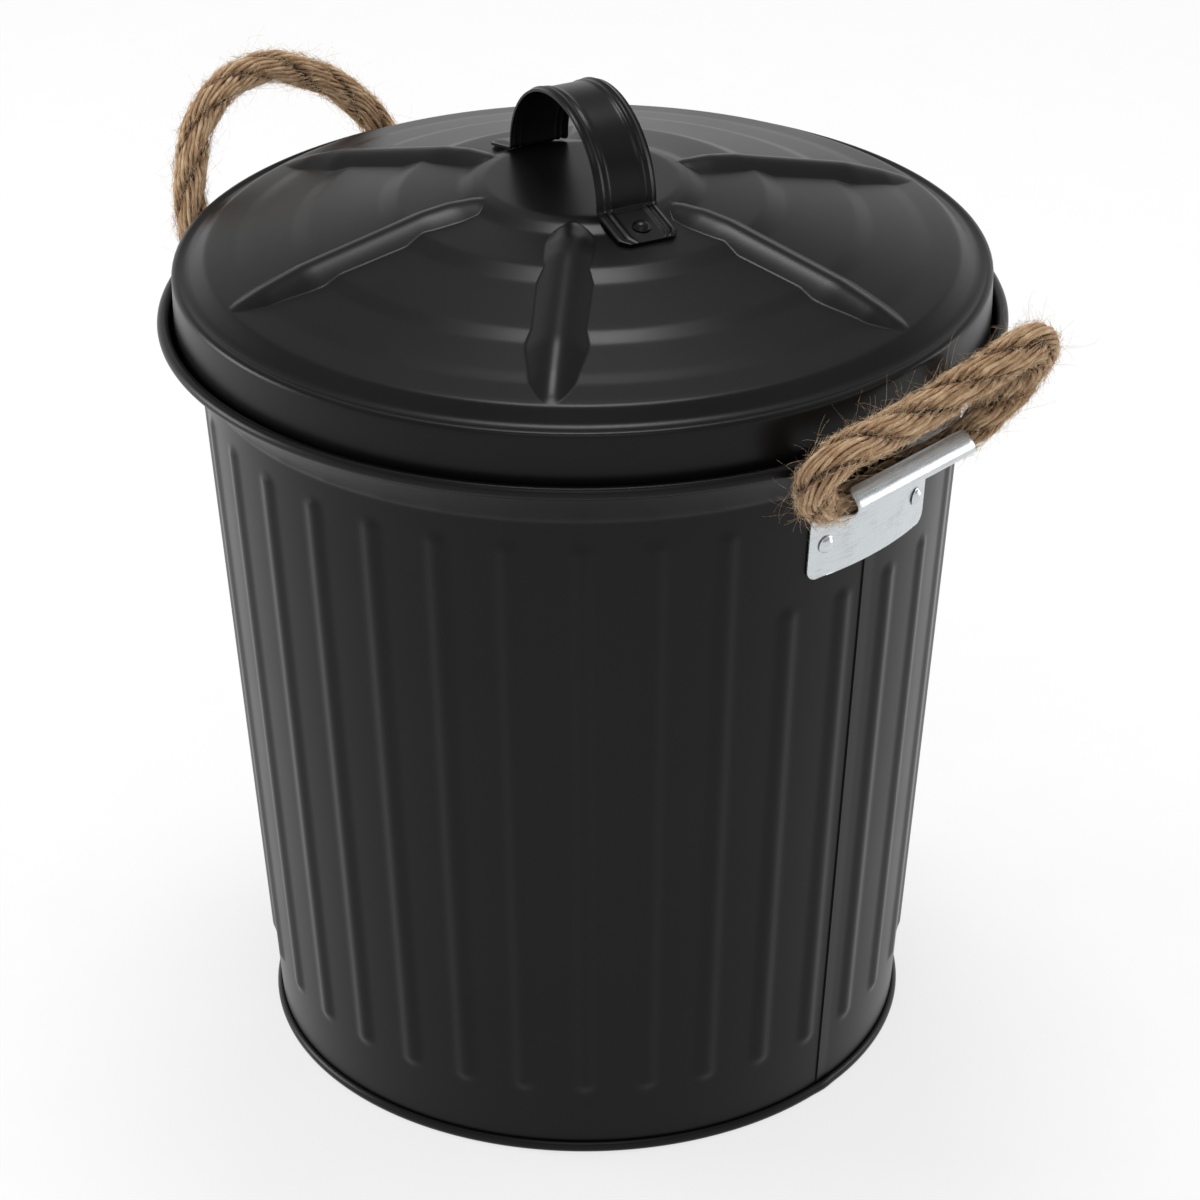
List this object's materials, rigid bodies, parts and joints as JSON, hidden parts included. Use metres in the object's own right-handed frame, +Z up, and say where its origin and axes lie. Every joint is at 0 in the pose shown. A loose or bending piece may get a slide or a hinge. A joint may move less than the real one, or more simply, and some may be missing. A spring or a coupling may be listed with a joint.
{
  "type": "trash can with lid",
  "caption": "Small round tapered metal bin with fluted wall, stepped ribbed lid with a strap handle, and rope side handles in folded brackets.",
  "frame": {"origin": "on the can's axis, on the floor under the base seam", "axes": "+Z up along the can's axis, +X through the middle of the bracket at the wall's seam, +Y a quarter turn on from it, counter-clockwise seen from above"},
  "size_m": [0.3541, 0.2998, 0.3633],
  "materials": {
    "black_coat": "satin black coat on thin steel sheet",
    "bare_zinc": "bare galvanized steel, dull",
    "jute": "laid jute rope, hairy"
  },
  "bodies": {
    "can": {"can_wall": "black_coat", "bottom_pan": "black_coat", "rim_wire": "bare_zinc", "bracket_right": "bare_zinc", "bracket_left": "bare_zinc", "bracket_rivet_right_1": "bare_zinc", "bracket_rivet_right_2": "bare_zinc", "bracket_rivet_left_1": "bare_zinc", "bracket_rivet_left_2": "bare_zinc"},
    "lid": {"lid_shell": "black_coat", "lid_handle": "black_coat", "lid_rivet_1": "black_coat", "lid_rivet_2": "black_coat"},
    "rope_right": {"rope_handle_right": "jute"},
    "rope_left": {"rope_handle_left": "jute"}
  },
  "joints": [
    {"name": "lid_lift", "type": "slide", "parent": "can", "child": "lid", "axis": [0, 0, 1], "range_m": [0, 0.16]},
    {"name": "rope_right_swing", "type": "hinge", "parent": "can", "child": "rope_right", "pos_m": [0.142, 0, 0.2626], "axis": [0, 1, 0], "range_deg": [0, 140]},
    {"name": "rope_left_swing", "type": "hinge", "parent": "can", "child": "rope_left", "pos_m": [-0.142, 0, 0.2626], "axis": [0, -1, 0], "range_deg": [0, 150]}
  ]
}
